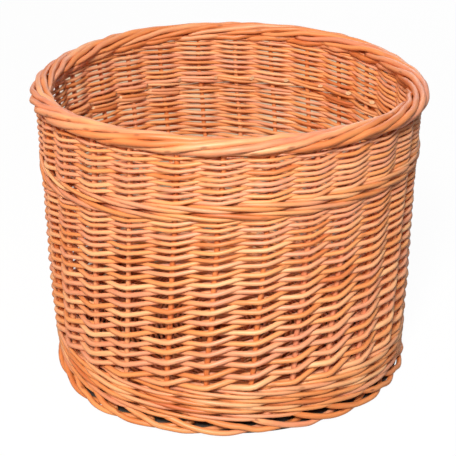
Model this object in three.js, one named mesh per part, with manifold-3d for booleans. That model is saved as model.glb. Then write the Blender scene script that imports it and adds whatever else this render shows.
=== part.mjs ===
import * as THREE from 'three';
import { mergeVertices } from 'three/addons/utils/BufferGeometryUtils.js';
import Module from 'manifold-3d';

// A round willow basket, open at the top. Sizes are in millimetres, +Z is up and the foot stands on Z = 0.

// Stakes: the upright rods. Each starts at the base's edge, climbs the wall and rolls into the border.
const stakeCount = 28;
const stakeDiameter = 5.6;
const wallRadiusAtBase = 215;
const wallFlare = 7;
const wallTop = 345.5;
const firstStakeAngle = -98.3;
const stakeLean = 4.2;

// Border: the rolled rim that the stakes' own ends make. Its section is an oval, with a size in rods.
const borderRodDiameter = 6.6;
const borderRodsWide = 4.2;
const borderRodsHigh = 3.6;
const borderStakesPassed = 7;

// The hand-rolled rim is highest at the back, and lies this much lower at its two sides and at the front.
const rimSideDip = 7.5;
const rimFrontDip = 4.5;

// Bands of weaving, from the foot up.
const upsettBottom = 21;
const upsettTop = 66;
const upsettRounds = 4;
const lowerRandingRows = 36;
const midWaleBottom = 271;
const midWaleTop = 290.5;
const midWaleRounds = 2;
const upperRandingRows = 13;
const lowerRowCrowding = 0.4;

// Rods of the weaving: a depth across the wall and a height up it.
const weaverDepth = 3.9;
const weaverHeightAtFoot = 5.4;
const weaverHeightAtTop = 3;
const upperWeaverHeight = 3.3;
const waleDepth = 4.6;
const rodGap = 0.3;

// How far the hand weaving dips on one side of the wall: a higher power makes the dip narrower.
const wallDip = 18;
const dipDirection = -165;
const dipPower = 5;

// Base: seven sticks in a cross, four of them slit for the other three, with a woven ring round them. The
// ring is tied round the cross, and from its opening out it is thin between two sticks.
const baseLevel = 16.5;
const baseCrown = 8;
const baseStickDiameter = 7.4;
const slitStickCount = 4;
const throughStickCount = 3;
const slitSwell = 2;
const baseTieInner = 24;
const baseWeaveInner = 46;
const baseWeaveAtStick = 14;
const baseWeaveBetween = 7;

// Foot: an open border of rods that slant down from the upsett into a ring on the floor.
const footRingMiddle = 4.3;
const footRingOut = 4;
const footRingDepth = 12;
const footSoleWidth = 3;
const footRodDiameter = 6.4;

// Where a foot rod starts and ends: how many stakes it has passed.
const footRodStart = 0.15;
const footRodEnd = 0.8;

const wasm = await Module();
wasm.setup();

const stakePitch = 2 * Math.PI / stakeCount;
const stakeRadius = stakeDiameter / 2;
const wallRadiusAtTop = wallRadiusAtBase + wallFlare;
const baseWeaveOuter = wallRadiusAtBase - stakeRadius - waleDepth - rodGap * 3;
const degree = Math.PI / 180;

const materials = {
  stake: { color: 0xc9793f, roughness: 0.55 },
  weaver: { color: 0xd98a4e, roughness: 0.5 },
  wale: { color: 0xcf7f48, roughness: 0.5 },
  base: { color: 0xb97140, roughness: 0.65 },
  foot: { color: 0xc4743e, roughness: 0.55 },
};

const basket = new THREE.Group();

function addPiece(name, geometry, finish) {
  const material = new THREE.MeshStandardMaterial({ ...materials[finish], metalness: 0, flatShading: true });
  const mesh = new THREE.Mesh(geometry, material);
  mesh.name = name;
  basket.add(mesh);
}

// The stakes stand straight but lean a little to one side. place counts stakes round the wall, and
// may lie between two of them.
function baseAngle(place) {
  return firstStakeAngle * degree + place * stakePitch;
}

function topAngle(place) {
  return baseAngle(place) + Math.tan(stakeLean * degree) * wallTop / wallRadiusAtBase;
}

function stakeLine(place, height) {
  const low = baseAngle(place);
  const high = topAngle(place);
  const foot = new THREE.Vector3(wallRadiusAtBase * Math.cos(low), wallRadiusAtBase * Math.sin(low), 0);
  const head = new THREE.Vector3(wallRadiusAtTop * Math.cos(high), wallRadiusAtTop * Math.sin(high), wallTop);
  return foot.lerp(head, height / wallTop);
}

function rimDipAt(place) {
  const angle = topAngle(place);
  return rimSideDip * Math.cos(angle) ** 4 + rimFrontDip * (1 - Math.sin(angle)) / 2;
}

// The weaving's dip is nothing at the foot and full at the middle wale, and passes into the rim's own dip.
function dipAt(place, height) {
  const grown = THREE.MathUtils.smoothstep(height, upsettBottom, upsettTop * 2);
  const spent = THREE.MathUtils.smoothstep(height, midWaleBottom, wallTop);
  const side = (1 + Math.cos(baseAngle(place) - dipDirection * degree)) / 2;
  return -THREE.MathUtils.lerp(wallDip * side ** dipPower * grown, rimDipAt(place), spent);
}

// Where the dip draws the rows together, their rods are pressed flatter by the same share.
function squeezeAt(place, height) {
  const reach = 1;
  return Math.min(1, 1 + (dipAt(place, height + reach) - dipAt(place, height - reach)) / (2 * reach));
}

// A point of the weaving: at a place round the wall, out from the stakes' centre line.
function wallPoint(place, height, offset) {
  const point = stakeLine(place, height + dipAt(place, height));
  return point.addScaledVector(outwardAt(point), offset);
}

function outwardAt(point) {
  return new THREE.Vector3(point.x, point.y, 0).normalize();
}

// Directions along a path of points; a closed path wraps round.
function tangentsAlong(points, closed) {
  const count = points.length;
  return points.map((point, i) => {
    const before = points[closed ? (i + count - 1) % count : Math.max(i - 1, 0)];
    const after = points[closed ? (i + 1) % count : Math.min(i + 1, count - 1)];
    return after.clone().sub(before).normalize();
  });
}

// A side direction that is carried along the path with no twist.
function carriedNormals(points, firstNormal) {
  const tangents = tangentsAlong(points, false);
  const turn = new THREE.Quaternion();
  const normal = firstNormal.clone();
  return tangents.map((tangent, i) => {
    if (i > 0) {
      turn.setFromUnitVectors(tangents[i - 1], tangent);
      normal.applyQuaternion(turn);
    }
    return normal.clone();
  });
}

// A rod along points. Its section has a corner on the normal, and two half widths at each point.
function rodGeometry(points, normals, halfDepths, halfHeights, sides, closed = false) {
  const tangents = tangentsAlong(points, closed);
  const positions = [];
  points.forEach((point, i) => {
    const across = normals[i].clone().projectOnPlane(tangents[i]).normalize();
    const along = tangents[i].clone().cross(across);
    for (let corner = 0; corner < sides; corner += 1) {
      const turn = 2 * Math.PI * corner / sides;
      const vertex = point.clone();
      vertex.addScaledVector(across, halfDepths[i] * Math.cos(turn));
      vertex.addScaledVector(along, halfHeights[i] * Math.sin(turn));
      positions.push(vertex.x, vertex.y, vertex.z);
    }
  });
  const faces = [];
  const stretches = closed ? points.length : points.length - 1;
  for (let i = 0; i < stretches; i += 1) {
    const here = i * sides;
    const next = ((i + 1) % points.length) * sides;
    for (let corner = 0; corner < sides; corner += 1) {
      const beside = (corner + 1) % sides;
      faces.push(here + corner, here + beside, next + beside);
      faces.push(here + corner, next + beside, next + corner);
    }
  }
  if (!closed) {
    const last = (points.length - 1) * sides;
    for (let corner = 1; corner < sides - 1; corner += 1) {
      faces.push(0, corner + 1, corner);
      faces.push(last, last + corner, last + corner + 1);
    }
  }
  const geometry = new THREE.BufferGeometry();
  geometry.setAttribute('position', new THREE.Float32BufferAttribute(positions, 3));
  geometry.setIndex(faces);
  return geometry;
}

function roundRod(points, firstNormal, radii, sides) {
  return rodGeometry(points, carriedNormals(points, firstNormal), radii, radii, sides);
}

// Randing: two strands wind up the wall together, each in front of one stake and behind the next.
function randingStrand(band, strand) {
  const strokes = Math.round(band.rows / 2 * stakeCount) - strand * stakeCount / 2;
  const points = [];
  const halfHeights = [];
  for (let stroke = 0; stroke <= strokes; stroke += 1) {
    const stake = stroke + strand * stakeCount / 2;
    const share = 2 * stroke / stakeCount / band.rows;
    const crowded = share * (1 + band.crowding - band.crowding * share);
    const rodHeight = THREE.MathUtils.lerp(band.rodHeightBelow, band.rodHeightAbove, share);
    const inset = rodHeight / 2 + rodGap;
    const height = THREE.MathUtils.lerp(band.bottom + inset, band.top - inset, crowded);
    const outside = (stroke + strand * stakeCount / 2 + strand) % 2 === 0;
    const offset = outside
      ? stakeRadius + rodGap + weaverDepth / 3
      : -(stakeRadius + rodGap + weaverDepth * 2 / 3);
    points.push(wallPoint(stake, height, offset));
    halfHeights.push(rodHeight / Math.sqrt(3) * squeezeAt(stake, height));
  }
  const halfDepths = points.map(() => weaverDepth * 2 / 3);
  return rodGeometry(points, points.map(outwardAt), halfDepths, halfHeights, 3);
}

// One round of a three-rod wale. Its rods pass in front of two stakes and behind one, and are
// joined end to end, so the path goes three times round before it closes.
function waleRound(middle, roundHeight) {
  const rodHeight = roundHeight / 3 - rodGap;
  const reach = stakeRadius + rodGap;
  const points = [];
  const halfHeights = [];
  for (let stroke = 0; stroke < 3 * stakeCount; stroke += 1) {
    const phase = stroke % 3;
    const lift = [0, roundHeight / 3, -roundHeight / 3][phase];
    const offset = phase === 0 ? -(reach + waleDepth * 2 / 3) : reach + waleDepth / 3;
    const height = middle + lift;
    points.push(wallPoint(stroke, height, offset));
    halfHeights.push(rodHeight / Math.sqrt(3) * squeezeAt(stroke, height));
  }
  const halfDepths = points.map(() => waleDepth * 2 / 3);
  return rodGeometry(points, points.map(outwardAt), halfDepths, halfHeights, 3, true);
}

// The height of the base's middle plane, which rises towards the cross: the base is crowned.
function baseHeight(radius) {
  return baseLevel + baseCrown * (1 - radius / wallRadiusAtBase);
}

function basePoint(radius, angle) {
  return new THREE.Vector3(radius * Math.cos(angle), radius * Math.sin(angle), baseHeight(radius));
}

// A stake's end bends over and goes behind the next stake, out under the border, and then winds up its
// outer face and over its top. Each point holds stakes passed, then outward and up in half rods, counted
// from the top of the wall.
const borderStart = [
  [0, 0, 0.75],
  [0.4, -1.5, 2.4],
  [1.1, -2.2, 0.6],
  [1.6, 0.3, -0.3],
];
const wrapFrom = 2;
const wrapStartAngle = -49;
const borderMiddle = 2.25;

// Each stake passed turns the rod so far round the oval that it lies beside the rod before it, also in the
// middle of its straight way between two stakes. The sine term evens out the turns on the oval.
function borderWrap(passed) {
  const halfWidth = borderRodsWide - 1;
  const halfHeight = borderRodsHigh - 1;
  const ring = (halfWidth + halfHeight) / 2;
  const turn = Math.asin((2 + 2 * rodGap / borderRodDiameter) / ring);
  const even = wrapStartAngle * degree + (passed - wrapFrom) * turn;
  const angle = even + (halfWidth - halfHeight) / 4 / ring * Math.sin(2 * even);
  return [passed, halfWidth * Math.cos(angle), borderMiddle + halfHeight * Math.sin(angle)];
}

function borderWay() {
  const way = [...borderStart];
  for (let passed = wrapFrom; passed <= borderStakesPassed; passed += 1) {
    way.push(borderWrap(passed));
  }
  return way;
}

function stakeGeometry(index) {
  const rodRadius = borderRodDiameter / 2;
  const points = [
    basePoint(baseWeaveOuter + rodGap, baseAngle(index)),
    stakeLine(index, baseHeight(wallRadiusAtBase) + stakeRadius),
    stakeLine(index, wallTop - borderRodDiameter - rimDipAt(index)),
  ];
  const radii = points.map(() => stakeRadius);
  borderWay().forEach(([passed, out, up]) => {
    const point = stakeLine(index + passed, wallTop);
    point.addScaledVector(outwardAt(point), out * rodRadius);
    point.z += up * rodRadius - rimDipAt(index + passed);
    points.push(point);
    radii.push(passed < wrapFrom / 2 ? stakeRadius : rodRadius);
  });
  return roundRod(points, new THREE.Vector3(0, 0, 1), radii, 4);
}

// A base stick runs right across. Its two ends fan out from the cross in the middle, where the sticks
// of one way lie side by side. place is how far it stands from the middle of its own group, in sticks.
function stickPoints(groupAngle, place, reachOut) {
  const end = baseWeaveOuter + reachOut;
  const elbow = (slitStickCount + 1) * baseStickDiameter / 2;
  const fanned = place * 2 * stakePitch;
  const aside = place * (baseStickDiameter + rodGap);
  const flat = [
    [-end * Math.cos(fanned), end * Math.sin(fanned)],
    [-elbow, aside],
    [elbow, aside],
    [end * Math.cos(fanned), end * Math.sin(fanned)],
  ];
  return flat.map(([along, across]) => {
    const radius = Math.hypot(along, across);
    return basePoint(radius, groupAngle + Math.atan2(across, along));
  });
}

function stickGeometry(groupAngle, place, extra = 0, reachOut = 0) {
  const points = stickPoints(groupAngle, place, reachOut);
  const radii = points.map(() => baseStickDiameter / 2 + extra);
  return roundRod(points, new THREE.Vector3(0, 0, 1), radii, 4);
}

// The slit stick swells in the middle, where the other way's sticks pass through its slit.
function slitStickGeometry(groupAngle, place) {
  const [endA, elbowA, elbowB, endB] = stickPoints(groupAngle, place, 0);
  const slitHalf = (throughStickCount * (baseStickDiameter + rodGap) + rodGap) / 2;
  const along = elbowB.clone().sub(elbowA).normalize();
  const middle = elbowA.clone().add(elbowB).multiplyScalar(0.5);
  const points = [
    endA,
    elbowA,
    middle.clone().addScaledVector(along, -slitHalf),
    middle.clone().addScaledVector(along, slitHalf),
    elbowB,
    endB,
  ];
  const radius = baseStickDiameter / 2;
  const swollen = radius * slitSwell;
  const depths = points.map(() => radius);
  const heights = [radius, radius, swollen, swollen, radius, radius];
  const normals = carriedNormals(points, new THREE.Vector3(0, 0, 1));
  const stick = solidOf(rodGeometry(points, normals, heights, depths, 4));
  const slit = new THREE.BoxGeometry(slitHalf * 2, baseStickDiameter * 2, baseStickDiameter + 2 * rodGap);
  slit.rotateZ(groupAngle);
  slit.translate(middle.x, middle.y, middle.z);
  return geometryOf(stick.subtract(solidOf(slit)));
}

function solidOf(geometry) {
  const bare = geometry.clone();
  bare.deleteAttribute('normal');
  bare.deleteAttribute('uv');
  const merged = mergeVertices(bare, 1e-4);
  return new wasm.Manifold(new wasm.Mesh({
    numProp: 3,
    vertProperties: Float32Array.from(merged.attributes.position.array),
    triVerts: Uint32Array.from(merged.index.array),
  }));
}

function geometryOf(solid) {
  const { vertProperties, triVerts } = solid.getMesh();
  const geometry = new THREE.BufferGeometry();
  geometry.setAttribute('position', new THREE.Float32BufferAttribute(vertProperties, 3));
  geometry.setIndex(Array.from(triVerts));
  return geometry;
}

// The sticks of the cross: the first group passes through the slits of the second.
function crossSticks() {
  const groupAngle = baseAngle(0.5);
  const places = (count) => Array.from({ length: count }, (_, i) => i - (count - 1) / 2);
  return [
    ...places(throughStickCount).map((place) => ({ angle: groupAngle, place, slit: false })),
    ...places(slitStickCount).map((place) => ({ angle: groupAngle + Math.PI / 2, place, slit: true })),
  ];
}

// The woven ring of the base, with a way through it for each stick's two ends. Its rods pass over and
// under the sticks, so it is thick at each of them.
function baseWeaveGeometry() {
  const radii = [baseTieInner, baseWeaveInner, baseWeaveOuter];
  const profile = [
    ...radii.map((radius) => new THREE.Vector2(radius, -1)),
    ...radii.toReversed().map((radius) => new THREE.Vector2(radius, 1)),
    new THREE.Vector2(baseTieInner, -1),
  ];
  const ring = new THREE.LatheGeometry(profile, stakeCount).rotateX(Math.PI / 2);
  ring.rotateZ(baseAngle(0.5) + Math.PI / 2);
  const corners = ring.getAttribute('position');
  for (let i = 0; i < corners.count; i += 1) {
    const radius = Math.hypot(corners.getX(i), corners.getY(i));
    const turn = Math.atan2(corners.getY(i), corners.getX(i)) - baseAngle(0.5);
    const between = radius < baseWeaveInner - rodGap ? 0 : (1 - Math.cos(stakeCount / 2 * turn)) / 2;
    const thickness = THREE.MathUtils.lerp(baseWeaveAtStick, baseWeaveBetween, between);
    corners.setZ(i, baseHeight(radius) + corners.getZ(i) * thickness / 2);
  }
  let weave = solidOf(ring);
  crossSticks().forEach(({ angle, place }) => {
    weave = weave.subtract(solidOf(stickGeometry(angle, place, rodGap * Math.SQRT2, baseStickDiameter)));
  });
  return geometryOf(weave);
}

// The foot: a ring of laid rods, and at each stake a rod that slants down into it from the upsett. The
// ring's section is a diamond, cut off by the floor where it is as wide as the sole.
function footGeometry() {
  const footPoint = (place, out, height) => {
    const point = stakeLine(place, 0).addScaledVector(outwardAt(stakeLine(place, 0)), out);
    point.z = height;
    return point;
  };
  const ringPoints = Array.from({ length: stakeCount }, (_, place) => (
    footPoint(place + 0.5, footRingOut, footRingMiddle)
  ));
  const halfDepths = ringPoints.map(() => footRingDepth / 2);
  const halfHeights = ringPoints.map(() => footRingMiddle / (1 - footSoleWidth / footRingDepth));
  const normals = ringPoints.map(outwardAt);
  let foot = solidOf(rodGeometry(ringPoints, normals, halfDepths, halfHeights, 4, true));
  const rodRadius = footRodDiameter / 2;
  const rodTop = upsettBottom - rodGap;
  for (let index = 0; index < stakeCount; index += 1) {
    const points = [
      footPoint(index + footRodStart, stakeRadius, rodTop + rodRadius),
      footPoint(index + footRodEnd, footRingOut, footRingMiddle),
    ];
    const radii = points.map(() => rodRadius);
    foot = foot.add(solidOf(roundRod(points, outwardAt(points[0]), radii, 3)));
  }
  const span = wallRadiusAtBase * 3;
  const floor = new THREE.BoxGeometry(span, span, upsettBottom);
  floor.translate(0, 0, -upsettBottom / 2);
  const roof = new THREE.BoxGeometry(span, span, upsettBottom);
  roof.translate(0, 0, rodTop + upsettBottom / 2);
  return geometryOf(foot.subtract(solidOf(floor)).subtract(solidOf(roof)));
}

for (let index = 0; index < stakeCount; index += 1) {
  addPiece(`stake_${String(index + 1).padStart(2, '0')}`, stakeGeometry(index), 'stake');
}

const lowerRanding = {
  rows: lowerRandingRows,
  bottom: upsettTop,
  top: midWaleBottom,
  crowding: lowerRowCrowding,
  rodHeightBelow: weaverHeightAtFoot,
  rodHeightAbove: weaverHeightAtTop,
};
const borderLowest = Math.min(...borderWay().map(([, , up]) => up)) - 1;
const upperRanding = {
  rows: upperRandingRows,
  bottom: midWaleTop,
  top: wallTop + borderLowest * borderRodDiameter / 2 - rodGap,
  crowding: 0,
  rodHeightBelow: upperWeaverHeight,
  rodHeightAbove: upperWeaverHeight,
};
addPiece('lower_randing_a', randingStrand(lowerRanding, 0), 'weaver');
addPiece('lower_randing_b', randingStrand(lowerRanding, 1), 'weaver');
addPiece('upper_randing_a', randingStrand(upperRanding, 0), 'weaver');
addPiece('upper_randing_b', randingStrand(upperRanding, 1), 'weaver');

function addWale(name, rounds, bottom, top) {
  const roundHeight = (top - bottom) / rounds;
  for (let round = 0; round < rounds; round += 1) {
    const middle = bottom + (round + 0.5) * roundHeight;
    addPiece(`${name}_round_${round + 1}`, waleRound(middle, roundHeight), 'wale');
  }
}
addWale('upsett', upsettRounds, upsettBottom, upsettTop);
addWale('middle_wale', midWaleRounds, midWaleBottom, midWaleTop);

let slitSticks = 0;
let throughSticks = 0;
crossSticks().forEach(({ angle, place, slit }) => {
  if (slit) {
    slitSticks += 1;
    addPiece(`slit_base_stick_${slitSticks}`, slitStickGeometry(angle, place), 'base');
  } else {
    throughSticks += 1;
    addPiece(`through_base_stick_${throughSticks}`, stickGeometry(angle, place), 'base');
  }
});
addPiece('base_weave', baseWeaveGeometry(), 'base');
addPiece('foot_border', footGeometry(), 'foot');

export default basket;
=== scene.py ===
import bpy
import numpy as np
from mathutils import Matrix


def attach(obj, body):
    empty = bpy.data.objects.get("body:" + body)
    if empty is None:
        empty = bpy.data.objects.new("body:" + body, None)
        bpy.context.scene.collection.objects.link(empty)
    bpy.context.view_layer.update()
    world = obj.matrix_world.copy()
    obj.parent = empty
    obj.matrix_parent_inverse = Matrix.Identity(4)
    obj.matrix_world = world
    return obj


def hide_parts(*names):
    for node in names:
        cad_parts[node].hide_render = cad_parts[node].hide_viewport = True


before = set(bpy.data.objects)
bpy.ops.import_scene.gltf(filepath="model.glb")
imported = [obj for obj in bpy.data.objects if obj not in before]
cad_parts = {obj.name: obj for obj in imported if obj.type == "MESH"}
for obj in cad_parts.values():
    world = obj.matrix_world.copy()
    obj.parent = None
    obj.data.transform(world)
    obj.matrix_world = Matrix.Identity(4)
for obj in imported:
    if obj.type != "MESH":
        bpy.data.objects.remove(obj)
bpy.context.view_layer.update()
print("frame loaded")

# A round willow basket. Lengths are in metres and angles in degrees.
# A place counts stakes round the wall, and may lie between two of them.
wall = {
    "stakeCount": 28,
    "radiusAtBase": 0.215,
    "radiusAtTop": 0.222,
    "top": 0.3455,
    "firstAngle": -98.3,
    "lean": 4.2,
    "spacingScatter": 0.09,  # of the way to the next stake
    "dip": 0.018,  # how far the weaving sinks on one side
    "dipDirection": -165,
    "dipPower": 5,  # a higher power makes the dip narrower
    "dipFrom": 0.014,
    "dipFull": 0.126,
    "dipUntil": 0.270,
    "rimSideDip": 0.0075,
    "rimFrontDip": 0.0045,
    "footFade": 0.09,  # the height at which the foot's own shape has faded out
    "seed": 7,
}
# how far the foot lies out of round, as direction in degrees and millimetres outward
footShape = np.array([
    [-180, -9],
    [-155, -2.5],
    [-128, 6],
    [-98, 0],
    [-74, -3],
    [-45, 2],
    [0, -2.5],
    [60, 0],
    [120, 0],
    [180, -9],
])
millimetre = 0.001
stakeTurn = 2 * np.pi / wall["stakeCount"]
scatterDraw = np.random.default_rng(wall["seed"])
stakeScatter = scatterDraw.uniform(-1, 1, wall["stakeCount"]) * wall["spacingScatter"]
stakeScatter = np.append(stakeScatter, stakeScatter[0])


def smooth(value, low, high):
    # 0 below low, 1 above high, and 3t^2 - 2t^3 between them
    t = np.clip((value - low) / (high - low), 0, 1)
    return t * t * (3 - 2 * t)


def unit(vectors):
    # the same directions with a length of one
    return vectors / np.linalg.norm(vectors, axis=-1, keepdims=True)


def polar(radius, angle):
    # x = radius cos angle, y = radius sin angle
    return np.stack([radius * np.cos(angle), radius * np.sin(angle)], -1)


def plainAngle(place):
    # a place's angle where all stakes are evenly spaced
    return np.radians(wall["firstAngle"]) + place * stakeTurn


def baseAngle(place):
    # a place's angle at the floor: each stake's own small shift fades into its neighbours'
    around = np.mod(place, wall["stakeCount"])
    shift = np.interp(around, np.arange(wall["stakeCount"] + 1), stakeScatter)
    return plainAngle(place + shift)


def topAngle(place):
    # at the top a stake has gone round by its height times the tangent of its lean
    return baseAngle(place) + np.tan(np.radians(wall["lean"])) * wall["top"] / wall["radiusAtBase"]


def footShift(angle):
    # straight lines between the directions in footShape
    return millimetre * np.interp(np.degrees(angle), footShape[:, 0], footShape[:, 1], period=360)


def stakeLine(place, height):
    # a straight line from the floor circle to the top circle, turned by the stake's lean, and moved
    # outward by the foot's own shape near the floor
    place, height = np.broadcast_arrays(np.asarray(place, float), np.asarray(height, float))
    share = (height / wall["top"])[..., None]
    angle = baseAngle(place)
    shift = footShift(angle) * (1 - smooth(height, 0, wall["footFade"]))
    low = polar(wall["radiusAtBase"], angle)
    high = polar(wall["radiusAtTop"], topAngle(place))
    flat = low * (1 - share) + high * share + polar(1.0, angle) * shift[..., None]
    return np.concatenate([flat, height[..., None]], -1)


def outward(points):
    # level, and away from the basket's axis
    return unit(points * np.array([1.0, 1.0, 0.0]))


def rimDipAt(place):
    # the rim is highest at the back: side dip times cos^4, and front dip times (1 - sin) / 2
    angle = topAngle(place)
    return wall["rimSideDip"] * np.cos(angle) ** 4 + wall["rimFrontDip"] * (1 - np.sin(angle)) / 2


def dipAt(place, height):
    # the weaving dips on one side, as dip ((1 + cos) / 2)^power round the wall: nothing at the foot, full
    # from dipFull up to the middle wale, and from there it passes into the rim's own dip
    grown = smooth(height, wall["dipFrom"], wall["dipFull"])
    spent = smooth(height, wall["dipUntil"], wall["top"])
    side = (1 + np.cos(baseAngle(place) - np.radians(wall["dipDirection"]))) / 2
    return -(wall["dip"] * side ** wall["dipPower"] * grown * (1 - spent) + rimDipAt(place) * spent)


def wallPoints(place, height, offset):
    # points of the weaving: on the surface through the stakes' middles, at the dipped height, then moved
    # outward by offset
    points = stakeLine(place, height + dipAt(place, height))
    return points + outward(points) * np.asarray(offset)[..., None]


wave = {"sines": 4, "fewest": 0.6, "most": 1.7}  # each sine has so many waves in one wavelength


def wander(along, amount, wavelength, draw):
    # a slow random wave: half the sum of a few sines of random length and phase
    counts = draw.uniform(wave["fewest"], wave["most"], wave["sines"])[:, None] * 2 * np.pi / wavelength
    phases = draw.uniform(0, 2 * np.pi, wave["sines"])[:, None]
    return amount * np.sin(counts * np.asarray(along)[None] + phases).sum(0) / 2


def knotNoise(along, amount, draw):
    # one random value at each whole number, eased from each to the next
    first = int(np.floor(along.min()))
    knots = draw.normal(0, amount, int(np.ceil(along.max())) - first + 2)
    cell = np.floor(along).astype(int) - first
    share = smooth(along - np.floor(along), 0, 1)
    return knots[cell] * (1 - share) + knots[cell + 1] * share


def smoothPath(points, step):
    # a cubic through every point, its slopes weighted by the distances on both sides, read off at
    # even steps; columns after the first three are carried along. Between two points it is each point
    # times its weight and each slope times its own: 2t^3 - 3t^2 + 1, t^3 - 2t^2 + t, and their mirrors
    gaps = np.linalg.norm(np.diff(points[:, :3], axis=0), axis=1)
    slopes = np.diff(points, axis=0) / gaps[:, None]
    before = np.concatenate([gaps[:1], gaps])[:, None]
    after = np.concatenate([gaps, gaps[-1:]])[:, None]
    slopeBefore = np.concatenate([slopes[:1], slopes])
    slopeAfter = np.concatenate([slopes, slopes[-1:]])
    tangents = (slopeBefore * after + slopeAfter * before) / (before + after)
    knots = np.concatenate([[0], np.cumsum(gaps)])
    along = np.linspace(0, knots[-1], int(np.ceil(knots[-1] / step)) + 1)
    cell = np.clip(np.searchsorted(knots, along, side="right") - 1, 0, len(gaps) - 1)
    t = ((along - knots[cell]) / gaps[cell])[:, None]
    reach = gaps[cell][:, None]
    startWeight = 2 * t ** 3 - 3 * t ** 2 + 1
    startSlope = t ** 3 - 2 * t ** 2 + t
    endWeight = 3 * t ** 2 - 2 * t ** 3
    endSlope = t ** 3 - t ** 2
    fromStart = startWeight * points[cell] + startSlope * reach * tangents[cell]
    toEnd = endWeight * points[cell + 1] + endSlope * reach * tangents[cell + 1]
    return fromStart + toEnd


def newBundle():
    # rods that are gathered into one mesh: corners, faces, cut ends, their maps and each rod's tone
    return {"corners": [], "quads": [], "caps": [], "skinMap": [], "capMap": [], "tones": [], "count": 0}


def addRod(bundle, points, radii, side, tone, sides, slant=0.5):
    # a ring of corners carried along the path: corner = point + radius (across cos a + up sin a),
    # with across as near to side as square to the path allows; each end is cut on a slant
    rings = len(points)
    tangents = unit(np.gradient(points, axis=0))
    side = np.broadcast_to(side, points.shape)
    across = unit(side - (side * tangents).sum(1, keepdims=True) * tangents)
    up = np.cross(tangents, across)
    angles = np.linspace(0, 2 * np.pi, sides, endpoint=False)
    circle = across[:, None] * np.cos(angles)[:, None] + up[:, None] * np.sin(angles)[:, None]
    radii = np.broadcast_to(radii, rings)
    corners = points[:, None] + radii[:, None, None] * circle
    cutShift = slant * np.cos(angles)[:, None]
    corners[0] -= tangents[0] * cutShift * radii[0]
    corners[-1] += tangents[-1] * cutShift * radii[-1]
    ring, corner = np.meshgrid(np.arange(rings - 1), np.arange(sides), indexing="ij")
    beside = (corner + 1) % sides
    quads = np.stack([
        ring * sides + corner,
        ring * sides + beside,
        (ring + 1) * sides + beside,
        (ring + 1) * sides + corner,
    ], -1).reshape(-1, 4)
    length = np.concatenate([[0], np.cumsum(np.linalg.norm(np.diff(points, axis=0), axis=1))])
    start, end = length[ring], length[ring + 1]
    low, high = corner / sides, (corner + 1) / sides
    skinMap = np.stack([
        np.stack([start, low], -1),
        np.stack([start, high], -1),
        np.stack([end, high], -1),
        np.stack([end, low], -1),
    ], -2).reshape(-1, 2)
    disc = polar(0.5, angles) + 0.5
    bundle["corners"].append(corners.reshape(-1, 3))
    bundle["quads"].append(quads + bundle["count"])
    bundle["skinMap"].append(skinMap)
    bundle["tones"].append(np.full(rings * sides, tone))
    bundle["caps"].append(np.arange(sides)[::-1] + bundle["count"])
    bundle["caps"].append(np.arange(sides) + (rings - 1) * sides + bundle["count"])
    bundle["capMap"].extend([disc[::-1], disc])
    bundle["count"] += rings * sides


def buildPiece(bundle, name, skin, replaced):
    # one mesh of the gathered rods: quads for the skin, one many-sided face for each cut end
    corners = np.concatenate(bundle["corners"])
    quads = np.concatenate(bundle["quads"])
    capSizes = np.array([len(cap) for cap in bundle["caps"]])
    loops = np.concatenate([quads.ravel()] + bundle["caps"])
    sizes = np.concatenate([np.full(len(quads), 4), capSizes])
    starts = np.concatenate([[0], np.cumsum(sizes)[:-1]])
    isCap = np.concatenate([np.zeros(len(quads), bool), np.ones(len(capSizes), bool)])
    mesh = bpy.data.meshes.new(name)
    mesh.vertices.add(len(corners))
    mesh.vertices.foreach_set("co", corners.astype(np.float32).ravel())
    mesh.loops.add(len(loops))
    mesh.loops.foreach_set("vertex_index", loops.astype(np.int32))
    mesh.polygons.add(len(sizes))
    mesh.polygons.foreach_set("loop_start", starts.astype(np.int32))
    mesh.polygons.foreach_set("material_index", isCap.astype(np.int32))
    mesh.polygons.foreach_set("use_smooth", ~isCap)
    mesh.update(calc_edges=True)
    rodMap = np.concatenate(bundle["skinMap"] + bundle["capMap"]).astype(np.float32)
    mesh.uv_layers.new(name="rodMap").uv.foreach_set("vector", rodMap.ravel())
    tone = mesh.attributes.new("tone", "FLOAT", "POINT")
    tone.data.foreach_set("value", np.concatenate(bundle["tones"]).astype(np.float32))
    mesh.materials.append(skin)
    mesh.materials.append(cutWillow)
    piece = bpy.data.objects.new(name, mesh)
    bpy.context.scene.collection.objects.link(piece)
    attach(piece, "root")
    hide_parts(*replaced)


def linear(hexColour):
    # an 0xRRGGBB colour as linear light: c / 12.92 where dark, else ((c + 0.055) / 1.055)^2.4
    parts = np.array([(hexColour >> shift) & 255 for shift in (16, 8, 0)]) / 255
    low = parts / 12.92
    high = ((parts + 0.055) / 1.055) ** 2.4
    return tuple(np.where(parts <= 0.04045, low, high)) + (1.0,)


def addNode(tree, kind, inputs=(), **settings):
    # a node with its settings; inputs are (socket, value) or (socket, output) pairs
    node = tree.nodes.new(kind)
    for key, value in settings.items():
        setattr(node, key, value)
    for socket, value in inputs:
        if isinstance(value, bpy.types.NodeSocket):
            tree.links.new(value, node.inputs[socket])
        else:
            node.inputs[socket].default_value = value
    return node


def addRamp(tree, factor, stops):
    # colours at positions from 0 to 1, blended in between
    ramp = addNode(tree, "ShaderNodeValToRGB", [("Fac", factor)])
    elements = ramp.color_ramp.elements
    while len(elements) < len(stops):
        elements.new(0.5)
    for element, (position, colour) in zip(elements, stops):
        element.position = position
        element.color = linear(colour)
    return ramp.outputs["Color"]


def mixColours(tree, factor, first, second, blend="MIX"):
    # the mix node's colours are its inputs 6 and 7 and its output 2
    node = addNode(
        tree, "ShaderNodeMix", [(0, factor), (6, first), (7, second)],
        data_type="RGBA", blend_type=blend, clamp_factor=True,
    )
    return node.outputs[2]


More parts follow.
